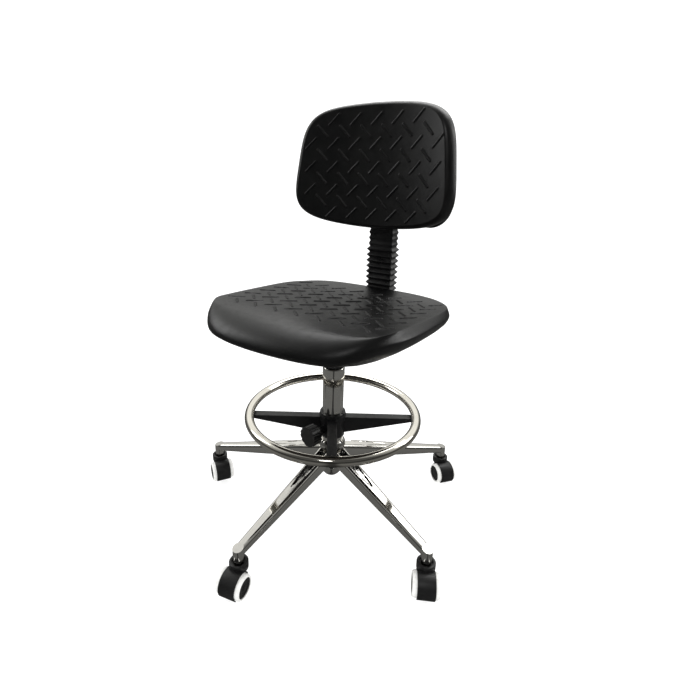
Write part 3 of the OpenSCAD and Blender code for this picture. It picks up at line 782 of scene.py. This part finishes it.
def hood_shape(trail, axle_z):
    """The hood: a round arch over both wheels, the web between them and the collar about the stem."""
    outer, inner, half = 28 * MM, 26 * MM, 18.4 * MM
    first, turn = math.radians(-40), math.radians(201)
    corners = [(-half, inner), (half, inner), (half, outer), (-half, outer)]
    ring = fillet(corners, (0.6 * MM, 0.6 * MM, 1.6 * MM, 1.6 * MM), True, 4)
    arch = []
    for i in range(41):
        angle = first + turn * i / 40
        c, s = math.cos(angle), math.sin(angle)
        arch.append([Vector((trail + p.y * c, p.x, axle_z + p.y * s)) for p in ring])
    axle = Vector((trail, axle_z))
    web_edge = [axle]
    for i in range(25):
        web_edge.append(axle + polar(26.5 * MM, first + turn * i / 24))
    web = [[Vector((p.x, y, p.y)) for p in web_edge] for y in (-3.4 * MM, 3.4 * MM)]
    profile = [(0, 46), (19.2, 46), (19.5, 50.2), (18.3, 51), (18.3, 52), (19.5, 52.8), (19.5, 62.9),
               (14.2, 62.9), (14.0, 57.2), (0, 57.2)]
    rounding = (0, 1, 0.5, 0.3, 0.3, 0.5, 1.8, 1, 0.5, 0)
    collar = fillet([(r * MM, z * MM) for r, z in profile], [radius * MM for radius in rounding], False, 4)
    return join_shapes(sweep(arch), sweep(web), lathe(collar, 48, False))


def wheel_profile():
    """The wheel's section as (radius, distance from the caster's middle), with the number of tread points."""
    tread = fillet([(20.6, 4.4), (25, 4.4), (25, 23.5), (23.0, 27.4), (20.4, 27.4), (20.2, 26.0)],
                   [0, 1.2, 3.5, 1.6, 0.4, 0], False, 5)
    core = fillet([(20.1, 26.0), (19.3, 26.2), (17.0, 26.9), (11.5, 26.3), (10.6, 25.7), (6.4, 25.7),
                   (5.4, 26.4), (0, 26.9)], [0, 0.3, 0.5, 0.4, 0.4, 0.4, 0.5, 0], False, 3)
    bore = [(0, 23.6), (3.08, 23.6), (3.08, 4.4)]
    line = [(p[0] * MM, p[1] * MM) for p in [*tread, *core, *bore]]
    return line, len(tread)


def caster_hood(n):
    """The hood of one caster, at the place and the trail that its joints give."""
    matrix, trail, axle_z = caster_matrix(n)
    shape = moved(hood_shape(trail, axle_z), matrix)
    hood = make_piece(f"caster_{n}_hood_moulded", *shape, [HOOD_PLASTIC], f"caster_{n}")
    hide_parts(f"caster_{n}_hood")


def caster_wheel(node):
    """A black core in a pale tread. Both are one piece with two materials."""
    segments = 64
    line, tread_points = wheel_profile()
    low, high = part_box(node)
    axle = Vector(joints[f"{node}_spin"]["pos_m"])
    outward = (low + high) / 2 - axle
    outward.z = 0
    shape = moved(lathe(line, segments), axis_matrix(axle, outward))
    tread_faces = (tread_points - 1) * segments
    slots = [0 if i < tread_faces else 1 for i in range(len(shape[1]))]
    wheel = make_piece(f"{node}_moulded", *shape, [TREAD, WHEEL_PLASTIC], node, 40, slots)
    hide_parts(node)


def casters():
    for n in CASTERS:
        caster_hood(n)
        for side in ("left", "right"):
            caster_wheel(f"caster_{n}_wheel_{side}")


# ---- Materials of the CAD nodes that stay ----

def finish_cad_nodes():
    """Materials for every CAD piece that is still shown, and round edges for the moulded and pressed ones."""
    looks = {
        CHROME: ("base_hub", "caster_sockets", "column_tube", "column_collar"),
        WARM_CHROME: ("foot_ring",),
        ZINC: ("rod_clip", "ring_screws", "ring_knob_screw", "seat_bolts", "tee_nuts", "back_bolts"),
        GROUND_STEEL: ("piston_rod", "thrust_bearing", "release_pin", "lever_pin"),
        PAINT: ("gas_cylinder", "seat_mechanism", "height_lever", "back_bar", "back_bracket"),
        BLACK_PLASTIC: ("ring_liner", "ring_spider"),
        KNOB_PLASTIC: ("ring_knob", "depth_knob", "back_knob", "lever_grip"),
        SHELL_PLASTIC: ("back_shell",),
        BUSH_PLASTIC: ("guide_bush",),
        PLYWOOD: ("seat_board", "back_board"),
        BRASS: ("ring_clamp_pad",),
    }
    for material, names in looks.items():
        for name in names:
            wear(name, material)
    for name in ("ring_spider", "ring_knob", "depth_knob", "back_knob", "lever_grip"):
        soften(name, 1.0 * MM)
    for name in ("seat_mechanism", "height_lever", "ring_liner", "caster_sockets", "column_collar"):
        soften(name, 0.6 * MM)
    for n in CASTERS:
        wear(f"caster_{n}_stem", GROUND_STEEL)
        wear(f"caster_{n}_axle", GROUND_STEEL)


def wear(name, material):
    """Gives a CAD piece its one material."""
    data = frame["nodes"][name].data
    data.materials.clear()
    data.materials.append(material)


def soften(name, width):
    """Rounds a CAD piece's edges as its mould or press would, without touching its own mesh."""
    piece = frame["nodes"][name]
    weld = piece.modifiers.new("weld", "WELD")
    weld.merge_threshold = 0.00001
    edges = piece.modifiers.new("round_edges", "BEVEL")
    edges.width = width
    edges.segments = 3
    edges.limit_method = "ANGLE"
    edges.angle_limit = math.radians(35)
    edges.use_clamp_overlap = True
    shade = piece.modifiers.new("even_normals", "WEIGHTED_NORMAL")
    shade.keep_sharp = True


# ---- Studio ----

# The photograph's viewpoint, solved from the chair's own circles and rib grids
CAMERA_PLACE = (0.5117, -0.8190, 0.8039)
CAMERA_HEADING = math.radians(122.456)
CAMERA_PITCH = math.radians(-18.42)
CAMERA_ROLL = math.radians(1.264)


def studio_white():
    """The room's own white. It glows a little, so that no part of the room goes dark."""
    material, tree, shader = new_material("studio_white", (0.45, 0.45, 0.45), 0.9, specular=0.1)
    tone = noise(tree, coordinates(tree), 3, 2)
    drive(tree, shader, "Base Color", tone, (0.44, 0.44, 0.44), (0.46, 0.46, 0.46))
    shader.inputs["Emission Color"].default_value = (1, 1, 1, 1)
    shader.inputs["Emission Strength"].default_value = 0.70
    return material


def room():
    """A round white room. Mirrors don't show it: they show the surroundings below instead."""
    wall, bend, ceiling = 6.5, 1.5, 6.0
    profile = [(0.0, 0.0), (wall - bend, 0.0)]
    for k in range(1, 13):
        angle = math.pi / 2 * k / 12
        profile.append((wall - bend + bend * math.sin(angle), bend * (1 - math.cos(angle))))
    profile += [(wall, ceiling), (0.0, ceiling + 1)]
    floor = make_piece("studio_floor", *lathe(profile, 96, False), [studio_white()], None, 180)
    floor.visible_glossy = False


def area_light(name, place, target, size, power):
    """A rectangular lamp. place is (degrees from the way the camera looks, distance, height)."""
    azimuth, distance, height = place
    angle = CAMERA_HEADING + math.radians(azimuth)
    location = Vector((distance * math.cos(angle), distance * math.sin(angle), height))
    light = bpy.data.lights.new(name, "AREA")
    light.shape = "RECTANGLE"
    light.size, light.size_y = size
    light.energy = power
    lamp = bpy.data.objects.new(name, light)
    bpy.context.scene.collection.objects.link(lamp)
    lamp.location = location
    lamp.rotation_euler = (Vector(target) - location).to_track_quat("-Z", "Y").to_euler()


def studio():
    """The room, a broad light over and behind the chair, one at each side and a weak one by the camera."""
    room()
    area_light("back_top_light", (-20, 1.2, 2.45), (0, 0, 0.45), (2.4, 1.3), 33)
    area_light("left_light", (75, 2.5, 1.7), (0, 0, 0.4), (0.9, 1.6), 15)
    area_light("right_light", (-80, 2.5, 1.5), (0, 0, 0.35), (0.8, 1.5), 15)
    area_light("front_fill", (172, 2.6, 2.6), (0, 0, 0.2), (0.7, 0.7), 9)
    surroundings()
    bpy.context.scene.view_settings.view_transform = "Standard"


def arithmetic(tree, operation, *values):
    """One step of arithmetic on numbers and sockets."""
    node = tree.nodes.new("ShaderNodeMath")
    node.operation = operation
    for socket, value in zip(node.inputs, values):
        if hasattr(value, "links"):
            tree.links.new(value, socket)
        else:
            socket.default_value = value
    return node.outputs["Value"]


def surroundings():
    """What the chair mirrors: a grey floor, a dim room behind the camera, a bright one beyond the chair."""
    world = bpy.data.worlds.new("studio_world")
    bpy.context.scene.world = world
    world.use_nodes = True
    tree = world.node_tree
    direction = tree.nodes.new("ShaderNodeTexCoord")
    turned = tree.nodes.new("ShaderNodeMapping")
    turned.inputs["Rotation"].default_value = (0, 0, -CAMERA_HEADING)
    tree.links.new(direction.outputs["Generated"], turned.inputs["Vector"])
    split = tree.nodes.new("ShaderNodeSeparateXYZ")
    tree.links.new(turned.outputs["Vector"], split.inputs["Vector"])
    forward, sideways, upward = (split.outputs[axis] for axis in "XYZ")
    level = tree.nodes.new("ShaderNodeValToRGB")
    stops = ((0.0, 0.10), (0.30, 0.16), (0.47, 0.05), (0.52, 0.12), (0.60, 0.30), (0.70, 1.10), (1.0, 0.80))
    while len(level.color_ramp.elements) < len(stops):
        level.color_ramp.elements.new(0.5)
    for stop, (position, grey) in zip(level.color_ramp.elements, stops):
        stop.position = position
        stop.color = (grey, grey, grey * 0.97, 1)
    tree.links.new(arithmetic(tree, "MULTIPLY_ADD", upward, 0.5, 0.5), level.inputs["Fac"])
    above = ramp(tree, upward, 0.0, 1.0, -0.05, 0.12)
    beyond = ramp(tree, forward, 0.07, 1.0, -0.45, 0.45)
    strips = ramp(tree, arithmetic(tree, "ABSOLUTE", sideways), 0.25, 1.0, 0.06, 0.16)
    lit = arithmetic(tree, "MAXIMUM", beyond, arithmetic(tree, "SUBTRACT", 1.0, above))
    lit = arithmetic(tree, "MULTIPLY", lit, arithmetic(tree, "MAXIMUM", strips, above))
    background = tree.nodes["Background"]
    tree.links.new(level.outputs["Color"], background.inputs["Color"])
    tree.links.new(lit, background.inputs["Strength"])


def camera():
    """The photograph's view: a near, wide lens, looking down past the seat's front right corner."""
    data = bpy.data.cameras.new("camera")
    data.sensor_width = 36
    data.lens = 23.035
    data.shift_x, data.shift_y = 0.0264, -0.0394
    data.clip_start = 0.05
    lens = bpy.data.objects.new("camera", data)
    bpy.context.scene.collection.objects.link(lens)
    heading = Matrix.Rotation(CAMERA_HEADING - math.pi / 2, 4, "Z")
    pitch = Matrix.Rotation(math.pi / 2 + CAMERA_PITCH, 4, "X")
    roll = Matrix.Rotation(CAMERA_ROLL, 4, "Z")
    lens.matrix_world = Matrix.Translation(CAMERA_PLACE) @ (heading @ pitch @ roll)
    bpy.context.scene.camera = lens


camera()
studio()
finish_cad_nodes()
seat_cushion()
back_cushion()
bellows()
base_legs()
casters()
